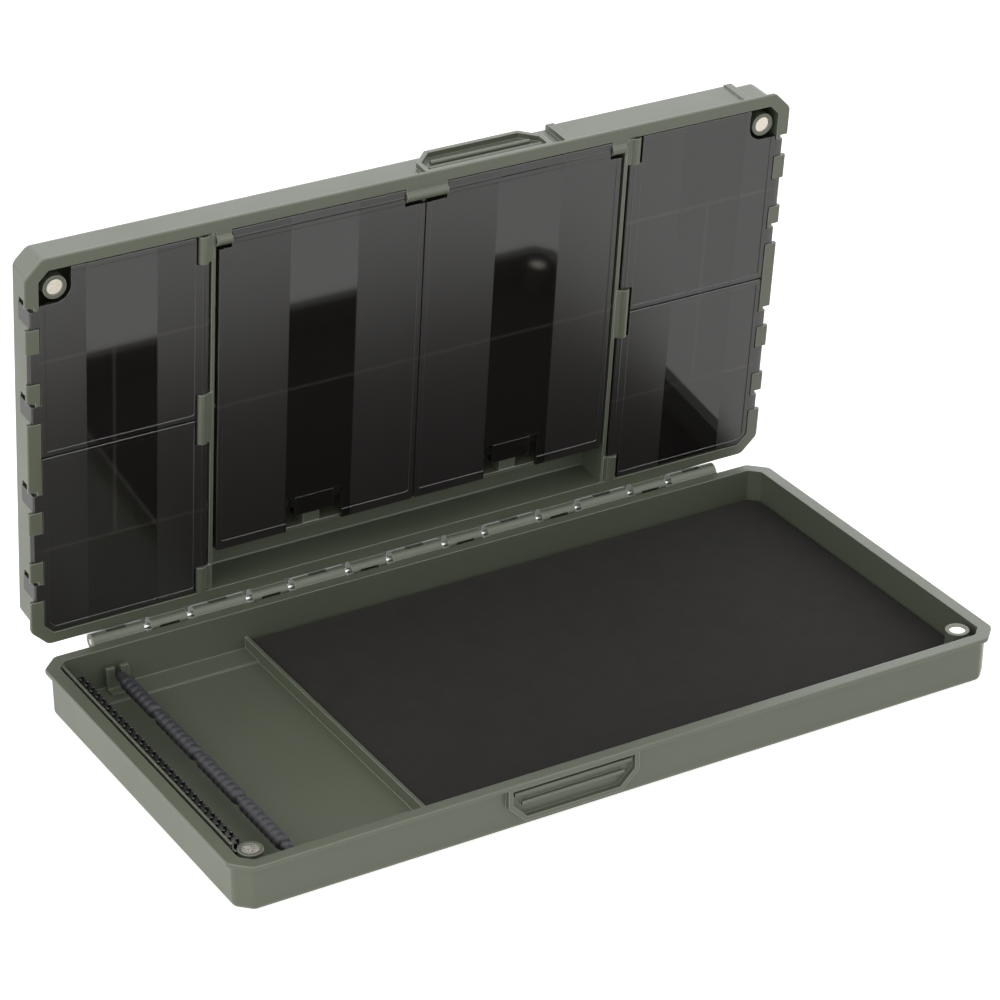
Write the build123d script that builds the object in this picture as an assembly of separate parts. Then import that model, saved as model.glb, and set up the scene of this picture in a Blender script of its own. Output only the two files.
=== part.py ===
"""Rig box: a shallow tray and a hinged compartment lid with smoked covers.

Everything is drawn with the lid shut over the tray, in millimetres, with the
origin at the middle of the tray's underside. X runs along the long side, the
front is at -Y, the hinge at +Y and Z points up. The lid and all it carries are
then turned back to the open angle, which is the rest position.
"""
from build123d import *

from math import radians, sqrt, tan
import os

# Shells
LENGTH = 371.4
DEPTH = 188.4
TRAY_HEIGHT = 22.5
LID_HEIGHT = 19.8
SHUT_GAP = 0.3
LIP_THICKNESS = 2.0
LIP_OVERHANG = 2.4
LIP_ROUND = 0.6
SIDE_RIM = 6.0
END_RIM = 5.5
TRAY_FLOOR = 3.0
LID_ROOF = 2.6
CORNER_CUT = 8.0
CORNER_ROUND = 4.0
INNER_ROUND = 1.6
BASE_ROUND = 2.6
FLOOR_ROUND = 0.9
WALL_DRAFT = 0.7
EMBED = 1.0

# Hinge
OPEN_ANGLE = 84.5
HINGE_DROP = 0.5
BARREL_RADIUS = 3.6
KNUCKLE_CLEARANCE = 0.5
PIN_RADIUS = 1.25
PIN_CLEARANCE = 0.05
HINGE_END_INSET = 25.7
HINGE_SHIFT = 1.4
LID_KNUCKLES = 6
KNUCKLE_PITCH_SHARE = 0.1544
LID_KNUCKLE = 17.4
KNUCKLE_GAP = 3.4
WINDOW_LENGTH = 9.6
WINDOW_WIDTH = 2.6

# Finger grips
GRIP_WIDTH = 62.4
GRIP_HEIGHT = 18.2
GRIP_CORNER = 8.0
GRIP_FRAME = 2.0
GRIP_BAR = 2.0
GRIP_BAR_SET_BACK = 0.6
GRIP_BAR_DEPTHS = (5.2, 10.0)
GRIP_BAR_INSETS = (3.4, 6.9)
GRIP_ROOT = 1.4

# Raised pad with two ribs on the lid's front wall
PAD_INSET = 16.4
PAD_LENGTH = 92.3
PAD_PROUD = 1.5
RIB_WIDTH = 3.4
RIB_PROUD = 2.2
PAD_ROUND = 1.6

# Magnets
MAGNET_INSET_X = 7.7
MAGNET_INSET_Y = 8.9
MAGNET_RADIUS = 3.5
MAGNET_THICKNESS = 3.0
MAGNET_CLEARANCE = 0.05
COLLAR_RADIUS = 5.25
COLLAR_DROP = 1.0
MAGNET_RECESS = 0.4

# Tray inside
LEFT_BAY = 91.2
DIVIDER_THICKNESS = 1.6
DIVIDER_TOP = 9.0
STEP_DEPTH = 13.0
STEP_HEIGHT = 0.8
MAT_THICKNESS = 5.0
MAT_GAP = 0.5
MAT_ROUND = 1.2

# Comb strip and the rib that holds it
COMB_RIB_INSET = 2.8
COMB_RIB_THICKNESS = 1.0
COMB_RIB_DROP = 1.2
COMB_GAP = 1.0
COMB_WIDTH = 5.6
COMB_TOP = 16.8
COMB_FRONT_INSET = 16.2
COMB_REAR_INSET = 6.7
TOOTH_PITCH = 5.4
TOOTH_RADIUS = 0.85
TOOTH_HEIGHT = 2.6
TOOTH_ROW = 2.2
TOOTH_TIP = 0.5

# Rig roll on its rod
ROLL_INSET = 27.2
ROLL_Z = 11.8
ROLL_FRONT_GAP = 6.0
ROLL_REAR_GAP = 4.0
ROLL_RADIUS = 3.4
ROLL_GROOVE = 0.6
ROLL_BORE = 1.55
ROLL_RIBS = 35
ROLL_END = 4.4
ROLL_END_RADIUS = 2.3
NECK_EVERY = 9
NECK_DEPTH = 0.9
RIB_FLAT = 0.45
ROD_RADIUS = 1.5
ROD_END_GAP = 0.6
FORK_CLEARANCE = 0.05
FORK_WIDTH = 10.3
FORK_THICKNESS = 2.0
FORK_TOP = 15.0
FORK_INSET = 3.7
FORK_FOOT = 6.0
FORK_FOOT_HEIGHT = 1.4

# Cell walls in the lid
SIDE_BAY = 79.2
PARTITION_THICKNESS = 1.7
PARTITION_DROP = 0.5
GRID_THICKNESS = 1.5
GRID_GAP = 0.3
GRID_SIDE_GAP = 0.1
SIDE_SPLIT_INSET = 42.7
SIDE_CELL = 45.5
CENTRE_SPLIT_Y = -3.5

# Covers
COVER_DROP = 0.2
COVER_THICKNESS = 1.8
COVER_ROUND = 0.45
COVER_CORNER = 1.2
SEAM = 0.5
FACE_BORDER = 2.4
HINGE_BORDER = 6.5
REAR_BORDER = 4.5
FACE_INSET = 0.25
EDGE_GAP = 0.6
RUN_GAP = 0.3
COVER_PIN_RADIUS = 1.0
CLIP_RADIUS = 2.45
CLIP_MOUTH = 1.6
SIDE_NOTCH = 3.5
CENTRE_NOTCH = 4.4
SIDE_HINGE_STEP = 4.5
SIDE_HINGE_EDGE = 2.5
END_CLIP = 12.6
MID_CLIP = 24.4
CENTRE_HINGE_INSET = 4.4
CENTRE_HINGE_EDGE = 3.8
CENTRE_EDGE_GAP = 2.5
REAR_CHANNEL = 19.2
SHORT_CLIP = 6.6
LONG_CLIP = 20.0
MAGNET_CUT = 7.0

# Snap arms and lift tabs on the side covers
SNAP_ARM_SHARES = (0.245, 0.753)
SNAP_WIDTH = 8.0
SNAP_THICKNESS = 1.5
SNAP_SEAT = 1.2
SNAP_DEPTH = 11.5
SLOT_SPARE = 2.2
SNAP_ROUND = 0.9
LIFT_TAB_SHARE = 0.495
LIFT_WIDTH = 13.8
LIFT_SET_BACK = 1.0
LIFT_BEVEL = 1.2
TAB_GAP = 0.35

# Latches of the centre covers
LATCH_SHIFT = 1.0
LATCH_WINDOW = 27.6
LATCH_DEPTH = 16.9
TONGUE_WIDTH = 19.0
TONGUE_THICKNESS = 1.4
TONGUE_LENGTH = 9.6
HOOK_DROP = 3.2
HOOK_THICKNESS = 1.4
KEEPER_WIDTH = 8.0
KEEPER_GAP = 0.2
KEEPER_DROP = 0.5

# Worked out from the sizes above
RIM = TRAY_HEIGHT + SHUT_GAP
LID_TOP = RIM + LID_HEIGHT
LID_CEILING = LID_TOP - LID_ROOF
INSIDE_X = LENGTH / 2 - SIDE_RIM
INSIDE_Y = DEPTH / 2 - END_RIM
WALL_X = LENGTH / 2 - LIP_OVERHANG
WALL_Y = DEPTH / 2 - LIP_OVERHANG
HINGE_Y = DEPTH / 2 + BARREL_RADIUS + KNUCKLE_CLEARANCE
HINGE_Z = TRAY_HEIGHT - HINGE_DROP
HINGE_ROW = LENGTH - 2 * HINGE_END_INSET
KNUCKLE_PITCH = HINGE_ROW * KNUCKLE_PITCH_SHARE
PAD_RIGHT = INSIDE_X - PAD_INSET
PAD_LEFT = PAD_RIGHT - PAD_LENGTH
MAGNET_X = INSIDE_X - MAGNET_INSET_X
MAGNET_Y = -INSIDE_Y + MAGNET_INSET_Y
DIVIDER_X = -INSIDE_X + LEFT_BAY
COMB_RIB_X = -INSIDE_X + COMB_RIB_INSET
COMB_FRONT = -INSIDE_Y + COMB_FRONT_INSET
COMB_REAR = INSIDE_Y - COMB_REAR_INSET
ROLL_X = -INSIDE_X + ROLL_INSET
FORK_MIDDLE = INSIDE_Y - FORK_INSET
ROLL_FRONT = -FORK_MIDDLE + ROLL_FRONT_GAP
ROLL_REAR = FORK_MIDDLE - ROLL_REAR_GAP
PARTITION_X = INSIDE_X - SIDE_BAY
SIDE_SPLIT_X = PARTITION_X + SIDE_CELL
SIDE_SPLIT_Y = INSIDE_Y - SIDE_SPLIT_INSET
SIDE_HINGE_X = PARTITION_X + SIDE_HINGE_STEP
CENTRE_HINGE_Y = -INSIDE_Y + CENTRE_HINGE_INSET
CENTRE_EDGE_X = PARTITION_X - CENTRE_EDGE_GAP
CENTRE_REAR = INSIDE_Y - REAR_CHANNEL
LATCH_X = CENTRE_EDGE_X / 2 + LATCH_SHIFT
LATCH_ROOT = CENTRE_REAR - LATCH_DEPTH
TONGUE_END = LATCH_ROOT + TONGUE_LENGTH
COVER_OUTER = RIM + COVER_DROP
COVER_INNER = COVER_OUTER + COVER_THICKNESS
COVER_HINGE_Z = COVER_OUTER + COVER_THICKNESS / 2
GRID_EDGE = COVER_INNER + GRID_GAP
COVER_PIN_BORE = COVER_PIN_RADIUS + PIN_CLEARANCE
TRAY_MAGNET_TOP = TRAY_HEIGHT - COLLAR_DROP
LID_MAGNET_FACE = RIM + COLLAR_DROP


def block(x, y, z):
    """A straight block between three pairs of limits."""
    limits = (x, y, z)
    middle = [(low + high) / 2 for low, high in limits]
    return Pos(*middle) * Box(*[high - low for low, high in limits])


def rod_x(radius, x, y, z):
    """A round rod along X between the two limits in x."""
    return Pos((x[0] + x[1]) / 2, y, z) * Rot(0, 90, 0) * Cylinder(radius, x[1] - x[0])


def rod_y(radius, x, y, z):
    """A round rod along Y between the two limits in y."""
    return Pos(x, (y[0] + y[1]) / 2, z) * Rot(90, 0, 0) * Cylinder(radius, y[1] - y[0])


def rod_z(radius, x, y, z):
    """A round rod along Z between the two limits in z."""
    return Pos(x, y, (z[0] + z[1]) / 2) * Cylinder(radius, z[1] - z[0])


def span(middle, width):
    """The two limits of a width about its middle."""
    return (middle - width / 2, middle + width / 2)


def cut_plan(inset_x, inset_y):
    """The shell's plan with straight-cut corners, set in from the lip's edge."""
    cut = CORNER_CUT - (inset_x + inset_y) / 2 * (2 - sqrt(2))
    plan = Rectangle(LENGTH - 2 * inset_x, DEPTH - 2 * inset_y)
    return chamfer(plan.vertices(), cut)


def outline(inset_x, inset_y, rounding):
    """The shell's plan with its cut corners rounded."""
    return fillet(cut_plan(inset_x, inset_y).vertices(), rounding)


def tapered(inset_x, inset_y, rounding, depth):
    """A solid from the rim to the given depth that narrows with the wall draft."""
    draw_in = depth * tan(radians(WALL_DRAFT))
    near = outline(inset_x, inset_y, rounding)
    far = Pos(0, 0, depth) * outline(inset_x + draw_in, inset_y + draw_in, rounding)
    return loft([near, far], ruled=True)


def far_edges(shape):
    """The edges that lie highest on a shape."""
    return shape.edges().group_by(Axis.Z)[-1]


def near_edges(shape):
    """The edges that lie lowest on a shape."""
    return shape.edges().group_by(Axis.Z)[0]


def open_shell(height, base):
    """A lipped shell with its rim plane at zero, its opening down and its base up."""
    walls = tapered(LIP_OVERHANG, LIP_OVERHANG, CORNER_ROUND, height)
    walls = fillet(far_edges(walls), BASE_ROUND)
    lip = extrude(outline(0, 0, CORNER_ROUND), LIP_THICKNESS)
    lip = fillet(near_edges(lip) + far_edges(lip), LIP_ROUND)
    hollow = tapered(SIDE_RIM, END_RIM, INNER_ROUND, height - base)
    hollow = fillet(far_edges(hollow), FLOOR_ROUND)
    return walls + lip - hollow


def knuckle_spans():
    """The limits in x of the lid knuckles and of the tray knuckles."""
    middles = [HINGE_SHIFT + (i - (LID_KNUCKLES - 1) / 2) * KNUCKLE_PITCH for i in range(LID_KNUCKLES)]
    lid_spans = [span(middle, LID_KNUCKLE) for middle in middles]
    row_start, row_end = span(HINGE_SHIFT, HINGE_ROW)
    starts = [row_start] + [high + KNUCKLE_GAP for low, high in lid_spans]
    ends = [low - KNUCKLE_GAP for low, high in lid_spans] + [row_end]
    return lid_spans, list(zip(starts, ends))


def knuckle(x, web_z, window_side):
    """One hinge barrel with its web to the lip, its bore and its moulding window."""
    barrel = rod_x(BARREL_RADIUS, x, HINGE_Y, HINGE_Z)
    web = block(x, (DEPTH / 2 - LIP_THICKNESS, HINGE_Y), web_z)
    bore = rod_x(PIN_RADIUS + PIN_CLEARANCE, x, HINGE_Y, HINGE_Z)
    reach = window_side * (BARREL_RADIUS + EMBED)
    window = block(
        span((x[0] + x[1]) / 2, WINDOW_LENGTH),
        span(HINGE_Y, WINDOW_WIDTH),
        sorted((HINGE_Z, HINGE_Z + reach)),
    )
    return barrel + web - bore - window


def grip(left, rim, direction):
    """A finger grip below the lip: an eight-sided frame with two bars across it."""
    def below_rim(value):
        return rim + direction * value

    front = -DEPTH / 2
    root = -WALL_Y + GRIP_ROOT
    right = left + GRIP_WIDTH
    points = [
        (left, below_rim(LIP_ROUND)),
        (left, below_rim(GRIP_HEIGHT - GRIP_CORNER)),
        (left + GRIP_CORNER, below_rim(GRIP_HEIGHT)),
        (right - GRIP_CORNER, below_rim(GRIP_HEIGHT)),
        (right, below_rim(GRIP_HEIGHT - GRIP_CORNER)),
        (right, below_rim(LIP_ROUND)),
    ]
    plate = make_face(Polyline(*points, close=True))
    ring = plate - offset(plate, amount=-GRIP_FRAME, kind=Kind.INTERSECTION)
    frame = extrude(Plane.XZ.offset(-root) * ring, amount=root - front)
    bars = []
    for bar_depth, inset in zip(GRIP_BAR_DEPTHS, GRIP_BAR_INSETS):
        x = (left + inset, right - inset)
        z = below_rim(bar_depth)
        crown = front + GRIP_BAR_SET_BACK + GRIP_BAR / 2
        bars.append(rod_x(GRIP_BAR / 2, x, crown, z))
        bars.append(block(x, (crown, root), span(z, GRIP_BAR)))
    return [frame] + bars


def magnet(side, z):
    """A disc magnet that fills its collar's pocket."""
    return rod_z(MAGNET_RADIUS, side * MAGNET_X, MAGNET_Y, z)


def magnet_pocket(side, z):
    """The pocket in a collar for a magnet."""
    return rod_z(MAGNET_RADIUS + MAGNET_CLEARANCE, side * MAGNET_X, MAGNET_Y, z)


def collar(side, z):
    """A round collar that stands on a shell's base and holds a magnet."""
    return rod_z(COLLAR_RADIUS, side * MAGNET_X, MAGNET_Y, z)


def tray_shell():
    """The tray with its divider, rear step, magnet collars, comb rib, grip and knuckles."""
    shell = Pos(0, 0, TRAY_HEIGHT) * Rot(180, 0, 0) * open_shell(TRAY_HEIGHT, TRAY_FLOOR)
    inside_y = (-INSIDE_Y, INSIDE_Y)
    root = TRAY_FLOOR - EMBED
    divider = block(span(DIVIDER_X, DIVIDER_THICKNESS), inside_y, (root, DIVIDER_TOP))
    step_x = (comb_limits()[1] + RUN_GAP, DIVIDER_X)
    step = block(step_x, (INSIDE_Y - STEP_DEPTH, INSIDE_Y), (root, TRAY_FLOOR + STEP_HEIGHT))
    comb_rib = block(
        span(COMB_RIB_X, COMB_RIB_THICKNESS),
        (COMB_FRONT, INSIDE_Y),
        (root, TRAY_HEIGHT - COMB_RIB_DROP),
    )
    collars = [collar(side, (root, TRAY_MAGNET_TOP)) for side in (-1, 1)]
    web_z = (TRAY_HEIGHT - LIP_THICKNESS, TRAY_HEIGHT)
    knuckles = [knuckle(x, web_z, 1) for x in knuckle_spans()[1]]
    shell = shell + [divider, step, comb_rib] + collars + knuckles + grip(-GRIP_WIDTH, TRAY_HEIGHT, -1)
    for side in (-1, 1):
        shell = shell - magnet_pocket(side, (TRAY_MAGNET_TOP - MAGNET_RECESS - MAGNET_THICKNESS, TRAY_HEIGHT))
    return shell


def eva_mat():
    """The foam mat on the floor right of the divider, cut round the magnet collar."""
    left = DIVIDER_X + DIVIDER_THICKNESS / 2 + MAT_GAP
    inset = (TRAY_HEIGHT - TRAY_FLOOR) * tan(radians(WALL_DRAFT)) + MAT_GAP + FLOOR_ROUND
    plan = outline(SIDE_RIM + inset, END_RIM + inset, MAT_ROUND)
    mat = extrude(Pos(0, 0, TRAY_FLOOR) * plan, MAT_THICKNESS)
    cut_z = (TRAY_FLOOR, TRAY_FLOOR + MAT_THICKNESS)
    mat -= block((-INSIDE_X, left), (-INSIDE_Y, INSIDE_Y), cut_z)
    around = COLLAR_RADIUS + MAT_GAP
    mat -= rod_z(around, MAGNET_X, MAGNET_Y, cut_z)
    mat -= block((MAGNET_X - around, INSIDE_X), (-INSIDE_Y, MAGNET_Y), cut_z)
    mat -= block((MAGNET_X, INSIDE_X), (-INSIDE_Y, MAGNET_Y + around), cut_z)
    return mat


def comb_limits():
    """The limits in x of the comb strip, which leans on its rib."""
    left = COMB_RIB_X + COMB_RIB_THICKNESS / 2 + COMB_GAP
    return left, left + COMB_WIDTH


def comb_strip():
    """The rubber strip along the left wall with two staggered rows of teeth."""
    left, right = comb_limits()
    front = COMB_FRONT
    strip = block((left, right), (front, COMB_REAR), (TRAY_FLOOR, COMB_TOP))
    count = int((COMB_REAR - front) / TOOTH_PITCH)
    teeth = []
    for row in (0, 1):
        x = (left + right) / 2 + (row - 0.5) * TOOTH_ROW
        for i in range(count):
            y = front + (i + 0.5 + row / 2) * TOOTH_PITCH
            tooth = rod_z(TOOTH_RADIUS, x, y, (COMB_TOP - EMBED, COMB_TOP + TOOTH_HEIGHT))
            teeth.append(chamfer(far_edges(tooth), TOOTH_TIP))
    return strip + teeth


def rib_stations(count, length):
    """Positions and radii along the ribbed stretch: a groove, two crown edges, a groove."""
    pitch = length / count
    stations = []
    for i in range(count):
        at_neck = i % NECK_EVERY == 0
        crown = ROLL_RADIUS - (NECK_DEPTH if at_neck else 0)
        groove = crown - ROLL_GROOVE
        start = i * pitch
        stations.append((start, groove))
        stations.append((start + pitch * (1 - RIB_FLAT) / 2, crown))
        stations.append((start + pitch * (1 + RIB_FLAT) / 2, crown))
        stations.append((start + pitch, groove))
    return stations


def rig_roll():
    """The ribbed foam roll, drawn along X and then laid along Y."""
    length = ROLL_REAR - ROLL_FRONT
    ribbed = length - 2 * ROLL_END
    pieces = [rod_x(ROLL_END_RADIUS, (0, length), 0, 0)]
    stations = rib_stations(ROLL_RIBS, ribbed)
    for i in range(ROLL_RIBS):
        circles = [
            Plane(origin=(ROLL_END + x, 0, 0), z_dir=(1, 0, 0)) * Circle(radius)
            for x, radius in stations[4 * i:4 * i + 4]
        ]
        pieces.append(loft(circles, ruled=True))
    roll = pieces[0] + pieces[1:]
    roll -= rod_x(ROLL_BORE, (-EMBED, length + EMBED), 0, 0)
    return Pos(ROLL_X, ROLL_FRONT, ROLL_Z) * Rot(0, 0, 90) * roll


def roll_core_rod():
    """The rod through the roll that spins in the two forks."""
    reach = FORK_MIDDLE + FORK_THICKNESS / 2 + ROD_END_GAP
    return rod_y(ROD_RADIUS, ROLL_X, (-reach, reach), ROLL_Z)


def roll_fork(end):
    """An upright fork on the tray floor whose open slot carries the rod."""
    middle = end * FORK_MIDDLE
    floor = TRAY_FLOOR + STEP_HEIGHT if end > 0 else TRAY_FLOOR
    x = span(ROLL_X, FORK_WIDTH)
    plate = block(x, span(middle, FORK_THICKNESS), (floor, FORK_TOP))
    foot_y = sorted((middle + end * FORK_THICKNESS / 2, middle - end * FORK_FOOT))
    foot = block(x, foot_y, (floor, floor + FORK_FOOT_HEIGHT))
    bore = ROD_RADIUS + FORK_CLEARANCE
    through = span(middle, FORK_THICKNESS + EMBED)
    slot = block(span(ROLL_X, 2 * bore), through, (ROLL_Z, FORK_TOP + EMBED))
    return plate + foot - slot - rod_y(bore, ROLL_X, through, ROLL_Z)


def hinge_pin():
    """The steel pin through all the knuckles."""
    return rod_x(PIN_RADIUS, span(HINGE_SHIFT, HINGE_ROW), HINGE_Y, HINGE_Z)


def mirrored(shapes, plane):
    """The shapes with their mirror images."""
    return shapes + [mirror(shape, about=plane) for shape in shapes]


def side_clip_spans():
    """The limits in y of the front, middle and rear clips of a side hinge."""
    end = -INSIDE_Y + EDGE_GAP
    return [(end, end + END_CLIP), span(0, MID_CLIP), (-end - END_CLIP, -end)]


def centre_clip_spans():
    """The limits in x of the clips of the centre hinge."""
    outer = PARTITION_X - PARTITION_THICKNESS / 2
    short = (outer - EDGE_GAP - SHORT_CLIP, outer - GRID_SIDE_GAP)
    return [(-short[1], -short[0]), span(0, LONG_CLIP), short]


def side_clip(y):
    """A clip of the right-hand side hinge, rooted in the partition."""
    clip = rod_y(CLIP_RADIUS, SIDE_HINGE_X, y, COVER_HINGE_Z)
    root = block((PARTITION_X, SIDE_HINGE_X), y, (COVER_OUTER, GRID_EDGE + EMBED))
    mouth = block(span(SIDE_HINGE_X, CLIP_MOUTH), y, (COVER_HINGE_Z, COVER_HINGE_Z + CLIP_RADIUS + EMBED))
    bore = rod_y(COVER_PIN_BORE, SIDE_HINGE_X, y, COVER_HINGE_Z)
    return clip + root - mouth - bore


def centre_clip(x):
    """A clip of the centre hinge, rooted in the front wall."""
    clip = rod_x(CLIP_RADIUS, x, CENTRE_HINGE_Y, COVER_HINGE_Z)
    front = -INSIDE_Y - EMBED
    root = block(x, (front, CENTRE_HINGE_Y), (COVER_OUTER, GRID_EDGE + EMBED))
    mouth = block(x, span(CENTRE_HINGE_Y, CLIP_MOUTH), (COVER_HINGE_Z, COVER_HINGE_Z + CLIP_RADIUS + EMBED))
    bore = rod_x(COVER_PIN_BORE, x, CENTRE_HINGE_Y, COVER_HINGE_Z)
    return clip + root - mouth - bore


def lid_room():
    """The space inside the lid's walls that the cell walls fill up to the ceiling."""
    room = tapered(SIDE_RIM + GRID_SIDE_GAP, END_RIM + GRID_SIDE_GAP, INNER_ROUND, LID_CEILING - RIM)
    return Pos(0, 0, RIM) * fillet(far_edges(room), FLOOR_ROUND)


def side_cell_walls():
    """The right-hand partition with its cell walls and the clips of the side hinge."""
    z = (GRID_EDGE, LID_CEILING)
    inside_y = (-INSIDE_Y, INSIDE_Y)
    partition = block(span(PARTITION_X, PARTITION_THICKNESS), inside_y, (RIM + PARTITION_DROP, z[1]))
    side_x = (PARTITION_X, INSIDE_X)
    rows = [block(side_x, span(y, GRID_THICKNESS), z) for y in (-SIDE_SPLIT_Y, 0, SIDE_SPLIT_Y)]
    column = block(span(SIDE_SPLIT_X, GRID_THICKNESS), (-SIDE_SPLIT_Y, SIDE_SPLIT_Y), z)
    swing = sqrt(SIDE_HINGE_EDGE ** 2 + (COVER_THICKNESS / 2) ** 2) + RUN_GAP
    relief = rod_y(swing, SIDE_HINGE_X, (-SIDE_SPLIT_Y - EMBED, SIDE_SPLIT_Y + EMBED), COVER_HINGE_Z)
    walls = partition + [column] + [row - relief for row in rows]
    return (walls & lid_room()) + [side_clip(y) for y in side_clip_spans()]


def centre_cell_walls():
    """The cell walls between the two partitions, with the keepers of the latches."""
    z = (GRID_EDGE, LID_CEILING)
    outer = PARTITION_X - PARTITION_THICKNESS / 2 - GRID_SIDE_GAP
    column = block(span(0, GRID_THICKNESS), (-INSIDE_Y, CENTRE_REAR), z)
    clip_room = CLIP_RADIUS + RUN_GAP
    column -= block(
        span(0, LONG_CLIP), (-INSIDE_Y, CENTRE_HINGE_Y + clip_room), (GRID_EDGE, COVER_HINGE_Z + clip_room)
    )
    rows = [block((-outer, outer), span(y, GRID_THICKNESS), z) for y in (CENTRE_SPLIT_Y, CENTRE_REAR)]
    walls = column + rows + [keeper(side) for side in (-1, 1)]
    return walls & lid_room()


def lid_front_pad():
    """The raised pad and its two ribs on the lid's front wall."""
    root = -WALL_Y + GRIP_ROOT
    z = (RIM + LIP_THICKNESS / 2, LID_TOP - LIP_ROUND)
    pad = block((PAD_LEFT, PAD_RIGHT), (-WALL_Y - PAD_PROUD, root), z)
    pieces = [pad] + [
        block(span(x, RIB_WIDTH), (-WALL_Y - RIB_PROUD, root), z) for x in (PAD_LEFT, PAD_RIGHT)
    ]
    return [fillet(far_edges(piece).sort_by(Axis.Y)[:1], PAD_ROUND) for piece in pieces]


def lid_shell():
    """The lid with its centre clips, magnet collars, grip, pad and knuckles."""
    shell = Pos(0, 0, RIM) * open_shell(LID_HEIGHT, LID_ROOF)
    web_z = (RIM, RIM + LIP_THICKNESS)
    knuckles = [knuckle(x, web_z, -1) for x in knuckle_spans()[0]]
    collars = [collar(side, (LID_MAGNET_FACE, LID_CEILING + EMBED)) for side in (-1, 1)]
    clips = [centre_clip(x) for x in centre_clip_spans()]
    shell = shell + knuckles + collars + grip(0, RIM, 1) + lid_front_pad()
    for side in (-1, 1):
        shell -= magnet_pocket(side, (RIM, LID_MAGNET_FACE + MAGNET_RECESS + MAGNET_THICKNESS))
    shell = shell + clips
    shell -= mirrored(rim_notches(), Plane.YZ)
    return shell


def keeper(side):
    """The block on the rear cell wall that the latch hook catches behind."""
    return block(
        span(side * LATCH_X, KEEPER_WIDTH),
        (TONGUE_END + KEEPER_GAP, CENTRE_REAR),
        (GRID_EDGE + KEEPER_DROP, LID_CEILING),
    )


def tab_spans():
    """The limits in y of the snap arms and of the lift tab, front and rear."""
    arms = [span(end * share * INSIDE_Y, SNAP_WIDTH) for share in SNAP_ARM_SHARES for end in (-1, 1)]
    lifts = [span(end * LIFT_TAB_SHARE * INSIDE_Y, LIFT_WIDTH) for end in (-1, 1)]
    return arms, lifts


def rim_notches():
    """The notches in the right-hand rim for the tabs, and the slots in the wall for the arms."""
    arms, lifts = tab_spans()
    x = (INSIDE_X - RUN_GAP, LENGTH / 2 + EMBED)
    z = (RIM - EMBED, GRID_EDGE)
    notches = [block(x, (low - TAB_GAP, high + TAB_GAP), z) for low, high in arms + lifts]
    slot_x = (WALL_X - SNAP_SEAT - RUN_GAP, LENGTH / 2 + EMBED)
    slot_z = (RIM - EMBED, COVER_OUTER + SNAP_DEPTH + RUN_GAP)
    slots = [block(slot_x, (low - SLOT_SPARE, high + TAB_GAP), slot_z) for low, high in arms]
    return notches + slots


def snap_arm(y):
    """A tab over the rim with an arm that runs down a slot in the outer wall."""
    inner = WALL_X - SNAP_SEAT
    outer = inner + SNAP_THICKNESS
    tab = block((INSIDE_X - EMBED, outer), y, (COVER_OUTER, COVER_INNER))
    arm = block((inner, outer), y, (COVER_OUTER, COVER_OUTER + SNAP_DEPTH))
    arm = tab + arm
    corner = arm.edges().filter_by(Axis.Y).group_by(Axis.X)[-1].sort_by(Axis.Z)[0]
    return fillet(corner, SNAP_ROUND)


def lift_tab(y):
    """The wide tab that a finger lifts, bevelled along its outer edge."""
    outer = LENGTH / 2 - LIFT_SET_BACK
    tab = block((INSIDE_X - EMBED, outer), y, (COVER_OUTER, COVER_INNER))
    edge = tab.edges().filter_by(Axis.Y).group_by(Axis.X)[-1].sort_by(Axis.Z)[0]
    return chamfer(edge, LIFT_BEVEL)


def cover_plan(x, y, border):
    """A cover's plan between its limits, kept off the rim's cut corners and rounded."""
    middle = Pos((x[0] + x[1]) / 2, (y[0] + y[1]) / 2, 0)
    plan = middle * Rectangle(x[1] - x[0], y[1] - y[0])
    plan = plan & cut_plan(SIDE_RIM + RUN_GAP + border, END_RIM + RUN_GAP + border)
    return Pos(0, 0, COVER_OUTER) * fillet(plan.vertices(), COVER_CORNER)


def plate(x, y, x_borders, y_borders):
    """A cover's plate with rounded corners, softened edges and a set-in face."""
    body = extrude(cover_plan(x, y, 0), COVER_THICKNESS)
    body = fillet(near_edges(body), COVER_ROUND)
    face_x = (x[0] + x_borders[0], x[1] - x_borders[1])
    face_y = (y[0] + y_borders[0], y[1] - y_borders[1])
    return body - extrude(cover_plan(face_x, face_y, FACE_BORDER), FACE_INSET)


def side_cover(end):
    """A right-hand side cover, shut; end is -1 for the front one and 1 for the rear one."""
    x = (SIDE_HINGE_X - SIDE_HINGE_EDGE, INSIDE_X - RUN_GAP)
    outer_end = INSIDE_Y - EDGE_GAP
    cover = plate(x, (-outer_end, -SEAM / 2), (HINGE_BORDER, FACE_BORDER), (FACE_BORDER, FACE_BORDER))
    notch_x = (x[0] - EMBED, SIDE_HINGE_X + SIDE_NOTCH)
    z = (COVER_OUTER - EMBED, COVER_INNER + EMBED)
    front, middle, _ = side_clip_spans()
    strip = (front[1] + RUN_GAP, middle[0] - RUN_GAP)
    cover -= block(notch_x, (-INSIDE_Y, strip[0]), z)
    cover -= block(notch_x, (strip[1], 0), z)
    pins = rod_y(COVER_PIN_RADIUS, SIDE_HINGE_X, (front[0] + RUN_GAP, -SEAM / 2), COVER_HINGE_Z)
    arms, lifts = tab_spans()
    arms = [snap_arm(y) for y in arms if y[1] < 0]
    lifts = [lift_tab(y) for y in lifts if y[1] < 0]
    if end < 0:
        around = (MAGNET_X - MAGNET_CUT, INSIDE_X)
        cover -= rod_z(MAGNET_CUT, MAGNET_X, MAGNET_Y, z)
        cover -= block(around, (-INSIDE_Y, MAGNET_Y), z)
        cover -= block((MAGNET_X, INSIDE_X), (-INSIDE_Y, MAGNET_Y + MAGNET_CUT), z)
    cover = cover + [pins] + arms + lifts
    return cover if end < 0 else mirror(cover, about=Plane.XZ)


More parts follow.
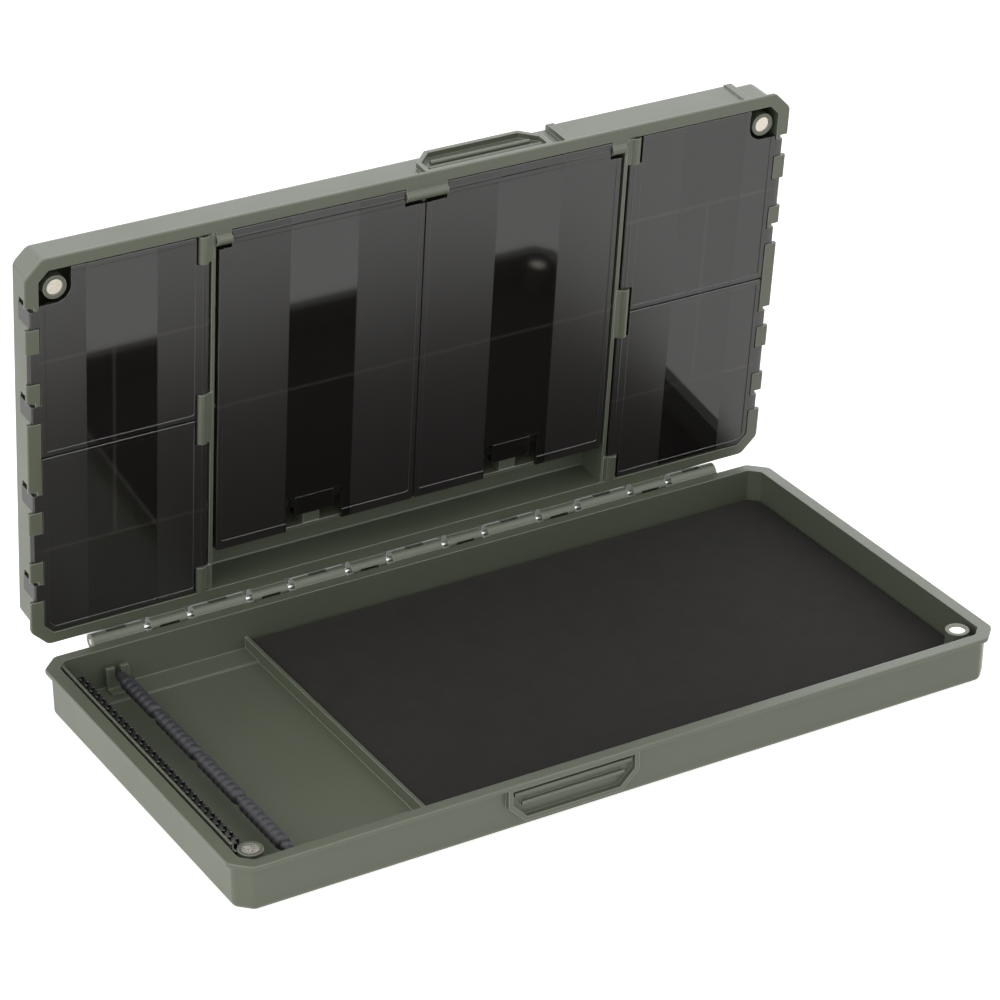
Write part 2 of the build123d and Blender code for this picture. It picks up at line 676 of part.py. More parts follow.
def centre_cover():
    """The right-hand centre cover, shut, with its latch window."""
    x = (SEAM / 2, CENTRE_EDGE_X)
    front = CENTRE_HINGE_Y - CENTRE_HINGE_EDGE
    cover = plate(x, (front, CENTRE_REAR), (FACE_BORDER, FACE_BORDER), (HINGE_BORDER, REAR_BORDER))
    z = (COVER_OUTER - EMBED, COVER_INNER + EMBED)
    _, middle, short = centre_clip_spans()
    notch_y = (front - EMBED, CENTRE_HINGE_Y + CENTRE_NOTCH)
    strip = (middle[1] + RUN_GAP, short[0] - RUN_GAP)
    cover -= block((-EMBED, strip[0]), notch_y, z)
    cover -= block((strip[1], CENTRE_EDGE_X + EMBED), notch_y, z)
    pin_end = short[1] - EDGE_GAP
    pins = rod_x(COVER_PIN_RADIUS, (SEAM / 2, pin_end), CENTRE_HINGE_Y, COVER_HINGE_Z)
    window = span(LATCH_X, LATCH_WINDOW)
    cover -= block(window, (LATCH_ROOT, CENTRE_REAR + EMBED), z)
    return cover + [pins]


def centre_latch():
    """The tongue in the right-hand centre cover, with the hook at its free end."""
    x = span(LATCH_X, TONGUE_WIDTH)
    z = span(COVER_HINGE_Z, TONGUE_THICKNESS)
    tongue = block(x, (LATCH_ROOT + RUN_GAP, TONGUE_END), z)
    hook = block(x, (TONGUE_END - HOOK_THICKNESS, TONGUE_END), (z[0], z[1] + HOOK_DROP))
    return tongue + hook


def opened(shape):
    """A lid piece turned back about the hinge to the open angle."""
    hinge = Pos(0, HINGE_Y, HINGE_Z)
    return hinge * Rot(-OPEN_ANGLE, 0, 0) * hinge.inverse() * shape


def tray_nodes():
    """The pieces that stay with the tray, by name."""
    magnet_z = (TRAY_MAGNET_TOP - MAGNET_RECESS - MAGNET_THICKNESS, TRAY_MAGNET_TOP - MAGNET_RECESS)
    return {
        "tray_shell": tray_shell(),
        "eva_mat": eva_mat(),
        "comb_strip": comb_strip(),
        "rig_roll": rig_roll(),
        "roll_core_rod": roll_core_rod(),
        "roll_fork_rear": roll_fork(1),
        "roll_fork_front": roll_fork(-1),
        "tray_magnet_left": magnet(-1, magnet_z),
        "tray_magnet_right": magnet(1, magnet_z),
        "hinge_pin": hinge_pin(),
    }


def lid_nodes():
    """The pieces that turn with the lid, shut, by name."""
    magnet_z = (LID_MAGNET_FACE + MAGNET_RECESS, LID_MAGNET_FACE + MAGNET_RECESS + MAGNET_THICKNESS)
    nodes = {
        "lid_shell": lid_shell(),
        "cell_walls_centre": centre_cell_walls(),
        "cell_walls_right": side_cell_walls(),
        "lid_magnet_left": magnet(-1, magnet_z),
        "lid_magnet_right": magnet(1, magnet_z),
        "side_cover_right_front": side_cover(-1),
        "side_cover_right_rear": side_cover(1),
        "centre_cover_right": centre_cover(),
        "centre_latch_right": centre_latch(),
    }
    for name in [name for name in nodes if "right" in name and "magnet" not in name]:
        nodes[name.replace("right", "left")] = mirror(nodes[name], about=Plane.YZ)
    return nodes


def main():
    """Write one file per piece."""
    os.makedirs("parts", exist_ok=True)
    nodes = tray_nodes()
    nodes.update({name: opened(shape) for name, shape in lid_nodes().items()})
    for name, shape in nodes.items():
        export_step(shape, os.path.join("parts", name + ".step"))


main()
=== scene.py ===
"""Looks of a moulded rig box: a tray with a foam mat and rig roll under a lid of smoked covers.

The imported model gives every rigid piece. This script dresses those pieces, models the soft ones
over their plain solids, and sets up a plain white studio at the photograph's viewing angle.
"""

import logging
import math
from dataclasses import dataclass
from enum import Enum
from typing import Any

import bmesh
import bpy
from mathutils import Matrix, Vector


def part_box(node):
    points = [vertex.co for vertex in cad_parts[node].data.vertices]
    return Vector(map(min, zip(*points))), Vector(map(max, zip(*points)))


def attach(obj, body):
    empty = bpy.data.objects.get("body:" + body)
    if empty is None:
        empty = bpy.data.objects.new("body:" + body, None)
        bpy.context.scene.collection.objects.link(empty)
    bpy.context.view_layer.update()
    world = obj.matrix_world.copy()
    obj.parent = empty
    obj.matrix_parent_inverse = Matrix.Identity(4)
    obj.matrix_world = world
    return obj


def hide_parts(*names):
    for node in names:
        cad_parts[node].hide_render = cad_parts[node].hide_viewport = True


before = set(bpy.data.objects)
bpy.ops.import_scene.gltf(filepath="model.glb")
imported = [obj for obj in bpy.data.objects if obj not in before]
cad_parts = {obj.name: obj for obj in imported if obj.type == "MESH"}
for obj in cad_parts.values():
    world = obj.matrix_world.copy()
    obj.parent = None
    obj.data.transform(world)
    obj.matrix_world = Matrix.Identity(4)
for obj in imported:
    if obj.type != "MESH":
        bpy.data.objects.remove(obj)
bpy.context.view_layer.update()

LOG = logging.getLogger("rig_box")
MM = 0.001
WHITE = (1.0, 1.0, 1.0, 1.0)
BLACK = (0.0, 0.0, 0.0, 1.0)
# How far a bevelled normal parts from the flat one where the painted edge highlight starts, and where it is
# full.
EDGE_HIGHLIGHT_START = 0.02
EDGE_HIGHLIGHT_FULL = 0.2
CREASE_ANGLE = 38.0


class Tint(Enum):
    """Colours of the real materials, and of the painted edge highlights and painted wall light, as sRGB hex
    values.
    """

    OLIVE = "#656a59"
    OLIVE_DARK = "#5f6454"
    # Painted highlight for the olive edges, lighter than the olive.
    OLIVE_EDGE_HIGHLIGHT = "#b4b6ad"
    SMOKE = "#242120"
    # Painted highlight for the edges of the smoked covers.
    SMOKE_CLEAR = "#aaa49d"
    SMOKE_EDGE_HIGHLIGHT = "#5f5c58"
    # Painted light of the lit cell walls seen through the covers.
    SMOKE_WALL_LIGHT = "#4b4845"
    FOAM = "#1b1a19"
    FOAM_LIT = "#2c2a28"
    RUBBER = "#101010"
    ROLL = "#16161a"
    NYLON = "#121212"
    NICKEL = "#c9c2b6"
    STEEL = "#b9b9b6"
    PAPER = "#f4f4f2"


def linear(colour: Tint) -> tuple[float, float, float, float]:
    """Turns an sRGB hex colour into linear values.

    Args:
        colour: The named colour.

    Returns:
        Red, green and blue in linear light, and an alpha of one.
    """
    digits = colour.value.lstrip("#")
    parts = [int(digits[start:start + 2], 16) / 255 for start in (0, 2, 4)]
    red, green, blue = [
        part / 12.92 if part <= 0.04045 else ((part + 0.055) / 1.055) ** 2.4 for part in parts
    ]
    return red, green, blue, 1.0


def add_node(tree: bpy.types.NodeTree, kind: str, settings: dict[str, Any] | None = None,
             inputs: dict[str | int, Any] | None = None) -> bpy.types.Node:
    """Adds one node, sets it and links what feeds it.

    Args:
        tree: The node tree that gets the node.
        kind: Blender's name for the node type.
        settings: Attributes of the node.
        inputs: For each input, a value to set or a socket to link.

    Returns:
        The new node.
    """
    node = tree.nodes.new(kind)
    for name, value in (settings or {}).items():
        setattr(node, name, value)
    for name, value in (inputs or {}).items():
        if isinstance(value, bpy.types.NodeSocket):
            tree.links.new(value, node.inputs[name])
        else:
            node.inputs[name].default_value = value
    return node


def empty_material(name: str) -> tuple[bpy.types.Material, bpy.types.NodeTree]:
    """Makes a material with an empty node tree.

    Args:
        name: The material's name.

    Returns:
        The material and its tree.
    """
    material = bpy.data.materials.new(name)
    material.use_nodes = True
    material.node_tree.nodes.clear()
    return material, material.node_tree


def finish_material(tree: bpy.types.NodeTree, surface: bpy.types.NodeSocket) -> None:
    """Links a shader to the material's output."""
    add_node(tree, "ShaderNodeOutputMaterial", inputs={"Surface": surface})


def object_position(tree: bpy.types.NodeTree) -> bpy.types.NodeSocket:
    """The position on the piece in metres, as a socket."""
    return add_node(tree, "ShaderNodeTexCoord").outputs["Object"]


def maths(tree: bpy.types.NodeTree, operation: str, *values: Any) -> bpy.types.NodeSocket:
    """Adds one maths node.

    Args:
        tree: The node tree that gets the node.
        operation: Blender's name for the operation.
        values: The numbers or sockets that it works on, in order.

    Returns:
        The result as a socket.
    """
    return add_node(tree, "ShaderNodeMath", {"operation": operation}, dict(enumerate(values))).outputs[0]


def joined(tree: bpy.types.NodeTree, masks: list[bpy.types.NodeSocket]) -> bpy.types.NodeSocket:
    """One where any of the masks is one.

    Args:
        tree: The material's node tree.
        masks: The masks, one or more.

    Returns:
        The mask as a socket.
    """
    mask = masks[0]
    for other in masks[1:]:
        mask = maths(tree, "MAXIMUM", mask, other)
    return mask


def edge_highlight_mask(tree: bpy.types.NodeTree, rounded: bpy.types.NodeSocket) -> bpy.types.NodeSocket:
    """One along the sharp edges and zero on the flat faces: where the painted edge highlight goes.

    Args:
        tree: The material's node tree.
        rounded: The normal that a bevel gives.

    Returns:
        The mask as a socket.
    """
    flat = add_node(tree, "ShaderNodeNewGeometry").outputs["Normal"]
    alike = add_node(tree, "ShaderNodeVectorMath", {"operation": "DOT_PRODUCT"}, {0: flat, 1: rounded})
    return add_node(tree, "ShaderNodeMapRange", inputs={
        "Value": alike.outputs["Value"], "From Min": 1.0 - EDGE_HIGHLIGHT_START, "From Max": 1.0 - EDGE_HIGHLIGHT_FULL,
    }).outputs["Result"]


def per_mm(size: float) -> float:
    """The texture scale that makes one feature the given number of millimetres wide."""
    return 1.0 / (size * MM)


@dataclass(frozen=True)
class MouldedOlive:
    """Olive ABS with the fine grain of a spark-eroded mould: satin, with soft painted highlights along its
    edges.
    """

    colour: Tint = Tint.OLIVE
    worn_colour: Tint = Tint.OLIVE_DARK
    # Painted edge highlight.
    highlight_colour: Tint = Tint.OLIVE_EDGE_HIGHLIGHT
    roughness_low: float = 0.36
    roughness_high: float = 0.46
    # The real grain is about 0.05 mm, which is drawn coarser so that it shows.
    grain_mm: float = 0.45
    grain_depth_mm: float = 0.010
    cloud_mm: float = 60.0
    edge_mm: float = 0.5
    refraction: float = 1.53

    def material(self) -> bpy.types.Material:
        """Builds the material."""
        material, tree = empty_material("olive_abs_moulded")
        place = object_position(tree)
        grain = add_node(tree, "ShaderNodeTexNoise", inputs={
            "Vector": place, "Scale": per_mm(self.grain_mm), "Detail": 3.0, "Roughness": 0.6,
        })
        cloud = add_node(tree, "ShaderNodeTexNoise", inputs={
            "Vector": place, "Scale": per_mm(self.cloud_mm), "Detail": 4.0, "Roughness": 0.55,
        })
        colour = add_node(tree, "ShaderNodeMix", {"data_type": "RGBA"}, {
            "Factor": cloud.outputs["Fac"], "A": linear(self.colour), "B": linear(self.worn_colour),
        })
        roughness = add_node(tree, "ShaderNodeMapRange", inputs={
            "Value": cloud.outputs["Fac"], "From Min": 0.3, "From Max": 0.7,
            "To Min": self.roughness_low, "To Max": self.roughness_high,
        })
        edge = add_node(tree, "ShaderNodeBevel", {"samples": 8}, {"Radius": self.edge_mm * MM})
        bump = add_node(tree, "ShaderNodeBump", inputs={
            "Height": grain.outputs["Fac"], "Distance": self.grain_depth_mm * MM,
            "Strength": 1.0, "Normal": edge.outputs["Normal"],
        })
        # Paints the lighter highlight along the bevelled edges.
        painted_highlight = add_node(tree, "ShaderNodeMix", {"data_type": "RGBA"}, {
            "Factor": edge_highlight_mask(tree, edge.outputs["Normal"]),
            "A": colour.outputs["Result"], "B": linear(self.highlight_colour),
        })
        shader = add_node(tree, "ShaderNodeBsdfPrincipled", inputs={
            "Base Color": painted_highlight.outputs["Result"], "Roughness": roughness.outputs["Result"],
            "Normal": bump.outputs["Normal"], "IOR": self.refraction,
        })
        finish_material(tree, shader.outputs["BSDF"])
        return material


@dataclass(frozen=True)
class SmokedPolystyrene:
    """Smoked clear polystyrene: a satin face with polished bands that give crisp reflections, painted
    highlights along its edges, and painted light where a lit cell wall stands behind it.
    """

    colour: Tint = Tint.SMOKE
    clear_colour: Tint = Tint.SMOKE_CLEAR
    # Painted edge highlight.
    highlight_colour: Tint = Tint.SMOKE_EDGE_HIGHLIGHT
    # Painted light of the lit cell walls behind the cover.
    wall_light_colour: Tint = Tint.SMOKE_WALL_LIGHT
    band_middles_mm: tuple[float, ...] = (-142.4, -48.3, 52.0, 147.0)
    band_width_mm: float = 32.4
    open_angle: float = 84.5
    hinge_mm: tuple[float, float] = (98.3, 22.0)
    wall_mm: float = 1.5
    # Middle, start and end of each wall as it lies in the shut lid, front at the low end.
    walls_across_mm: tuple[tuple[float, float, float], ...] = (
        (-46.0, 101.0, 180.0), (46.0, 101.0, 180.0), (-3.5, 0.0, 99.0),
    )
    walls_along_mm: tuple[tuple[float, float, float], ...] = ((146.0, -46.0, 46.0),)
    # How strongly the painted light of the cell walls shows on the cover.
    wall_light_share: float = 0.55
    satin_roughness: float = 0.34
    polished_roughness: float = 0.05
    satin_cover: float = 0.68
    polished_cover: float = 0.62
    shine: float = 0.9
    refraction: float = 1.59
    edge_mm: float = 0.35
    grain_mm: float = 0.35
    grain_depth_mm: float = 0.006

    def band_mask(self, tree: bpy.types.NodeTree) -> bpy.types.NodeSocket:
        """One inside the polished bands and zero outside them.

        Args:
            tree: The material's node tree.

        Returns:
            The mask as a socket.
        """
        across = add_node(tree, "ShaderNodeSeparateXYZ", inputs={0: object_position(tree)}).outputs["X"]
        half = self.band_width_mm / 2 * MM
        return joined(tree, [maths(tree, "COMPARE", across, middle * MM, half)
                             for middle in self.band_middles_mm])

    def wall_light_mask(self, tree: bpy.types.NodeTree) -> bpy.types.NodeSocket:
        """One where a cell wall stands right behind the cover and zero elsewhere: where the cover gets the
        painted light of the lit wall seen through it.

        Args:
            tree: The material's node tree.

        Returns:
            The mask as a socket.
        """
        place = object_position(tree)
        lean = math.radians(self.open_angle)
        across = add_node(tree, "ShaderNodeSeparateXYZ", inputs={0: place}).outputs["X"]
        from_middle = maths(tree, "ABSOLUTE", across)
        up_lid = add_node(tree, "ShaderNodeVectorMath", {"operation": "DOT_PRODUCT"}, {
            0: place, 1: (0.0, -math.cos(lean), math.sin(lean)),
        }).outputs["Value"]
        hinge_y, hinge_z = self.hinge_mm
        lid_middle = hinge_y + hinge_z * math.sin(lean) - hinge_y * math.cos(lean)
        lines = [self.line(tree, up_lid, lid_middle - middle, from_middle, low, high)
                 for middle, low, high in self.walls_across_mm]
        lines += [self.line(tree, from_middle, middle, up_lid, lid_middle - high, lid_middle - low)
                  for middle, low, high in self.walls_along_mm]
        return joined(tree, lines)

    def line(self, tree: bpy.types.NodeTree, position: bpy.types.NodeSocket, middle: float,
             other: bpy.types.NodeSocket, low: float, high: float) -> bpy.types.NodeSocket:
        """One along a line of a wall's thickness that runs between two limits.

        Args:
            tree: The material's node tree.
            position: The position that the line keeps.
            middle: Where the line's middle lies, in millimetres.
            other: The position along the line.
            low: Where the line starts, in millimetres.
            high: Where the line ends, in millimetres.

        Returns:
            The mask as a socket.
        """
        near = maths(tree, "COMPARE", position, middle * MM, self.wall_mm / 2 * MM)
        within = maths(tree, "COMPARE", other, (low + high) / 2 * MM, (high - low) / 2 * MM)
        return maths(tree, "MULTIPLY", near, within)

    def material(self) -> bpy.types.Material:
        """Builds the material."""
        material, tree = empty_material("smoked_polystyrene")
        mask = self.band_mask(tree)
        grain = add_node(tree, "ShaderNodeTexNoise", inputs={
            "Vector": object_position(tree), "Scale": per_mm(self.grain_mm), "Detail": 2.0,
        })
        roughness = add_node(tree, "ShaderNodeMapRange", inputs={
            "Value": mask, "To Min": self.satin_roughness, "To Max": self.polished_roughness,
        })
        cover = add_node(tree, "ShaderNodeMapRange", inputs={
            "Value": mask, "To Min": self.satin_cover, "To Max": self.polished_cover,
        })
        satin = maths(tree, "SUBTRACT", 1.0, mask)
        edge = add_node(tree, "ShaderNodeBevel", {"samples": 6}, {"Radius": self.edge_mm * MM})
        bump = add_node(tree, "ShaderNodeBump", inputs={
            "Height": grain.outputs["Fac"], "Distance": self.grain_depth_mm * MM,
            "Strength": satin, "Normal": edge.outputs["Normal"],
        })
        # Paints the lighter highlight along the bevelled edges.
        colour = add_node(tree, "ShaderNodeMix", {"data_type": "RGBA"}, {
            "Factor": edge_highlight_mask(tree, edge.outputs["Normal"]),
            "A": linear(self.colour), "B": linear(self.highlight_colour),
        })
        # Paints the cover lighter where a lit cell wall stands behind it: painted light seen through the
        # cover.
        painted_wall_light = maths(tree, "MULTIPLY", self.wall_light_mask(tree), self.wall_light_share)
        with_wall_light = add_node(tree, "ShaderNodeMix", {"data_type": "RGBA"}, {
            "Factor": painted_wall_light, "A": colour.outputs["Result"], "B": linear(self.wall_light_colour),
        })
        body = add_node(tree, "ShaderNodeBsdfPrincipled", inputs={
            "Base Color": with_wall_light.outputs["Result"], "Roughness": roughness.outputs["Result"],
            "Normal": bump.outputs["Normal"], "IOR": self.refraction, "Specular IOR Level": self.shine,
        })
        clear = add_node(tree, "ShaderNodeBsdfTransparent", inputs={"Color": linear(self.clear_colour)})
        mix = add_node(tree, "ShaderNodeMixShader", inputs={
            0: cover.outputs["Result"], 1: clear.outputs["BSDF"], 2: body.outputs["BSDF"],
        })
        finish_material(tree, mix.outputs["Shader"])
        return material


@dataclass(frozen=True)
class ClosedCellFoam:
    """Black EVA foam, skived flat: open-looking cells and a dusty, uneven black."""

    name: str = "eva_foam_skived"
    colour: Tint = Tint.FOAM
    lit_colour: Tint = Tint.FOAM_LIT
    # Cells are about 0.2 mm, drawn coarser so that they show.
    cell_mm: float = 0.55
    cell_depth_mm: float = 0.06
    cloud_mm: float = 14.0
    roughness: float = 0.92
    shine: float = 0.25

    def material(self) -> bpy.types.Material:
        """Builds the material."""
        material, tree = empty_material(self.name)
        place = object_position(tree)
        cells = add_node(tree, "ShaderNodeTexVoronoi", {"feature": "SMOOTH_F1"}, {
            "Vector": place, "Scale": per_mm(self.cell_mm), "Smoothness": 0.4,
        })
        cloud = add_node(tree, "ShaderNodeTexNoise", inputs={
            "Vector": place, "Scale": per_mm(self.cloud_mm), "Detail": 6.0, "Roughness": 0.65,
        })
        colour = add_node(tree, "ShaderNodeMix", {"data_type": "RGBA"}, {
            "Factor": cloud.outputs["Fac"], "A": linear(self.colour), "B": linear(self.lit_colour),
        })
        bump = add_node(tree, "ShaderNodeBump", inputs={
            "Height": cells.outputs["Distance"], "Distance": self.cell_depth_mm * MM, "Strength": 1.0,
        })
        shader = add_node(tree, "ShaderNodeBsdfPrincipled", inputs={
            "Base Color": colour.outputs["Result"], "Roughness": self.roughness,
            "Normal": bump.outputs["Normal"], "Specular IOR Level": self.shine,
        })
        finish_material(tree, shader.outputs["BSDF"])
        return material


@dataclass(frozen=True)
class DarkMoulding:
    """A small black moulding, rubber or nylon, with a soft sheen and a fine uneven skin."""

    name: str
    colour: Tint
    roughness: float
    skin_mm: float = 0.8
    skin_depth_mm: float = 0.02

    def material(self) -> bpy.types.Material:
        """Builds the material."""
        material, tree = empty_material(self.name)
        skin = add_node(tree, "ShaderNodeTexNoise", inputs={
            "Vector": object_position(tree), "Scale": per_mm(self.skin_mm), "Detail": 3.0,
        })
        bump = add_node(tree, "ShaderNodeBump", inputs={
            "Height": skin.outputs["Fac"], "Distance": self.skin_depth_mm * MM, "Strength": 1.0,
        })
        rough = add_node(tree, "ShaderNodeMapRange", inputs={
            "Value": skin.outputs["Fac"], "To Min": self.roughness * 0.8, "To Max": self.roughness * 1.2,
        })
        shader = add_node(tree, "ShaderNodeBsdfPrincipled", inputs={
            "Base Color": linear(self.colour), "Roughness": rough.outputs["Result"],
            "Normal": bump.outputs["Normal"],
        })
        finish_material(tree, shader.outputs["BSDF"])
        return material


@dataclass(frozen=True)
class BareMetal:
    """Nickel plate or drawn steel, with fine scuffs that break up the reflection."""

    name: str
    colour: Tint
    roughness_low: float
    roughness_high: float
    scuff_mm: float = 1.6
    scuff_depth_mm: float = 0.0015

    def material(self) -> bpy.types.Material:
        """Builds the material."""
        material, tree = empty_material(self.name)
        scuff = add_node(tree, "ShaderNodeTexNoise", inputs={
            "Vector": object_position(tree), "Scale": per_mm(self.scuff_mm), "Detail": 6.0,
            "Roughness": 0.7, "Distortion": 1.0,
        })
        rough = add_node(tree, "ShaderNodeMapRange", inputs={
            "Value": scuff.outputs["Fac"], "From Min": 0.35, "From Max": 0.65,
            "To Min": self.roughness_low, "To Max": self.roughness_high,
        })
        bump = add_node(tree, "ShaderNodeBump", inputs={
            "Height": scuff.outputs["Fac"], "Distance": self.scuff_depth_mm * MM, "Strength": 1.0,
        })
        shader = add_node(tree, "ShaderNodeBsdfPrincipled", inputs={
            "Base Color": linear(self.colour), "Metallic": 1.0,
            "Roughness": rough.outputs["Result"], "Normal": bump.outputs["Normal"],
        })
        finish_material(tree, shader.outputs["BSDF"])
        return material


def dress(node: str, material: bpy.types.Material) -> None:
    """Gives a carried-over node its material.

    Args:
        node: The node's name.
        material: The material for all its slots.
    """
    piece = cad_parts[node]
    if not piece.material_slots:
        piece.data.materials.append(material)
    for slot in piece.material_slots:
        slot.material = material
    LOG.info("dressed %s in %s", node, material.name)


def new_piece(name: str, mesh_work: bmesh.types.BMesh, material: bpy.types.Material,
              smooth: bool = True) -> bpy.types.Object:
    """Makes an object at the origin from finished mesh work.

    Args:
        name: The piece's name.
        mesh_work: The mesh in place, which is freed.
        material: The piece's material.
        smooth: Whether its faces are shaded smooth.

    Returns:
        The new object.
    """
    mesh = bpy.data.meshes.new(name)
    mesh_work.to_mesh(mesh)
    mesh_work.free()
    mesh.materials.append(material)
    piece = bpy.data.objects.new(name, mesh)
    bpy.context.scene.collection.objects.link(piece)
    if smooth:
        mesh.polygons.foreach_set("use_smooth", [True] * len(mesh.polygons))
        mesh.set_sharp_from_angle(angle=math.radians(CREASE_ANGLE))
    LOG.info("made %s with %d faces", name, len(mesh.polygons))
    return piece


@dataclass
class FoamMat:
    """The foam mat on the tray floor, over its plain solid."""

    node: str = "eva_mat"
    edge: float = 0.7 * MM

    def build(self, material: bpy.types.Material) -> bpy.types.Object:
        """Args:
            material: The foam.

        Returns:
            The mat.
        """
        work = bmesh.new()
        work.from_mesh(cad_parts[self.node].data)
        bmesh.ops.remove_doubles(work, verts=work.verts, dist=0.01 * MM)
        bmesh.ops.dissolve_limit(work, angle_limit=math.radians(1), verts=work.verts, edges=work.edges)
        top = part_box(self.node)[1][2]
        rim = [edge for edge in work.edges if all(abs(vert.co.z - top) < 0.1 * MM for vert in edge.verts)]
        bmesh.ops.bevel(work, geom=rim, offset=self.edge, offset_type="OFFSET", segments=3, profile=0.5,
                        affect="EDGES", material=-1)
        mat = new_piece("foam_mat", work, material)
        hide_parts(self.node)
        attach(mat, "tray")
        return mat


@dataclass
class RibbedRoll:
    """The ribbed foam roll, turned from one profile."""

    node: str = "rig_roll"
    ribs: int = 35
    neck_every: int = 9
    neck_first: int = 0
    end: float = 4.4 * MM
    end_radius: float = 2.3 * MM
    bore: float = 1.55 * MM
    groove: float = 0.8 * MM
    neck: float = 0.9 * MM
    # The share of a plain end before its slope, and the power that makes the ribs full.
    plain_share: float = 0.96
    rib_power: float = 0.6
    steps: int = 8
    turns: int = 28

    def profile(self) -> list[tuple[float, float]]:
        """The outline as distances along the roll and radii, from the front end.

        Returns:
            Pairs of distance and radius.
        """
        low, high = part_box(self.node)
        length = high[1] - low[1]
        crown = (high[0] - low[0]) / 2
        pitch = (length - 2 * self.end) / self.ribs
        plain = self.end * self.plain_share
        points = [(0.0, self.bore), (0.0, self.end_radius), (plain, self.end_radius)]
        for rib in range(self.ribs):
            top = crown - (self.neck if rib % self.neck_every == self.neck_first else 0.0)
            for step in range(self.steps):
                turn = (step + 0.5) / self.steps
                radius = top - self.groove * (1 - math.sin(math.pi * turn) ** self.rib_power)
                points.append((self.end + (rib + turn) * pitch, radius))
        points += [(length - plain, self.end_radius), (length, self.end_radius), (length, self.bore)]
        return points

    def build(self, material: bpy.types.Material) -> bpy.types.Object:
        """Args:
            material: The roll's foam.

        Returns:
            The roll.
        """
        low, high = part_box(self.node)
        axis = Vector(((low[0] + high[0]) / 2, low[1], (low[2] + high[2]) / 2))
        work = bmesh.new()
        verts = [work.verts.new(axis + Vector((radius, along, 0))) for along, radius in self.profile()]
        edges = [work.edges.new(pair) for pair in zip(verts, verts[1:])]
        edges.append(work.edges.new((verts[-1], verts[0])))
        bmesh.ops.spin(work, geom=verts + edges, cent=axis, axis=(0, 1, 0), dvec=(0, 0, 0),
                       angle=2 * math.pi, steps=self.turns, use_merge=True, use_duplicate=False)
        bmesh.ops.remove_doubles(work, verts=work.verts, dist=0.005 * MM)
        bmesh.ops.recalc_face_normals(work, faces=work.faces)
        roll = new_piece("ribbed_roll", work, material)
        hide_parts(self.node)
        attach(roll, "roll")
        return roll


@dataclass
class CombStrip:
    """The rubber comb strip with domed teeth, over its plain solid."""

    node: str = "comb_strip"
    tooth_pitch: float = 5.4 * MM
    tooth_radius: float = 0.85 * MM
    tooth_height: float = 2.6 * MM
    tooth_root: float = 0.5 * MM
    tooth_taper: float = 0.82
    tooth_dome: float = 0.4 * MM
    tooth_sides: int = 10
    row: float = 2.2 * MM
    corner: float = 0.5 * MM

    def tooth(self, work: bmesh.types.BMesh, place: Vector) -> None:
        """Adds one domed tooth that stands at the given place.

        Args:
            work: The mesh that gets the tooth.
            place: The middle of its foot.
        """
        height = self.tooth_height + self.tooth_root
        middle = place + Vector((0, 0, height / 2 - self.tooth_root))
        made = bmesh.ops.create_cone(
            work, cap_ends=True, segments=self.tooth_sides, radius1=self.tooth_radius,
            radius2=self.tooth_radius * self.tooth_taper, depth=height, matrix=Matrix.Translation(middle))
        near_top = max(vert.co.z for vert in made["verts"]) - 0.01 * MM
        rim = {edge for vert in made["verts"] if vert.co.z > near_top for edge in vert.link_edges
               if all(other.co.z > near_top for other in edge.verts)}
        bmesh.ops.bevel(work, geom=list(rim), offset=self.tooth_dome, offset_type="OFFSET", segments=3,
                        profile=0.5, affect="EDGES", material=-1)

    def build(self, material: bpy.types.Material) -> bpy.types.Object:
        """Args:
            material: The rubber.

        Returns:
            The strip.
        """
        low, high = (Vector(corner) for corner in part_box(self.node))
        high.z -= self.tooth_height
        work = bmesh.new()
        size = high - low
        place = Matrix.Translation((low + high) / 2) @ Matrix.Diagonal((*size, 1))
        bmesh.ops.create_cube(work, size=1, matrix=place)
        bmesh.ops.bevel(work, geom=list(work.edges), offset=self.corner, offset_type="OFFSET", segments=2,
                        profile=0.5, affect="EDGES", material=-1)
        count = int((high.y - low.y) / self.tooth_pitch)
        for row in (0, 1):
            across = (low.x + high.x) / 2 + (row - 0.5) * self.row
            for index in range(count):
                along = low.y + (index + 0.5 + row / 2) * self.tooth_pitch
                self.tooth(work, Vector((across, along, high.z)))
        strip = new_piece("comb_strip_toothed", work, material)
        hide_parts(self.node)
        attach(strip, "tray")
        return strip


@dataclass(frozen=True)
class Softbox:
    """A square lamp: where it hangs and its side in metres, and its power in watts."""

    name: str
    place: tuple[float, float, float]
    size: float
    power: float


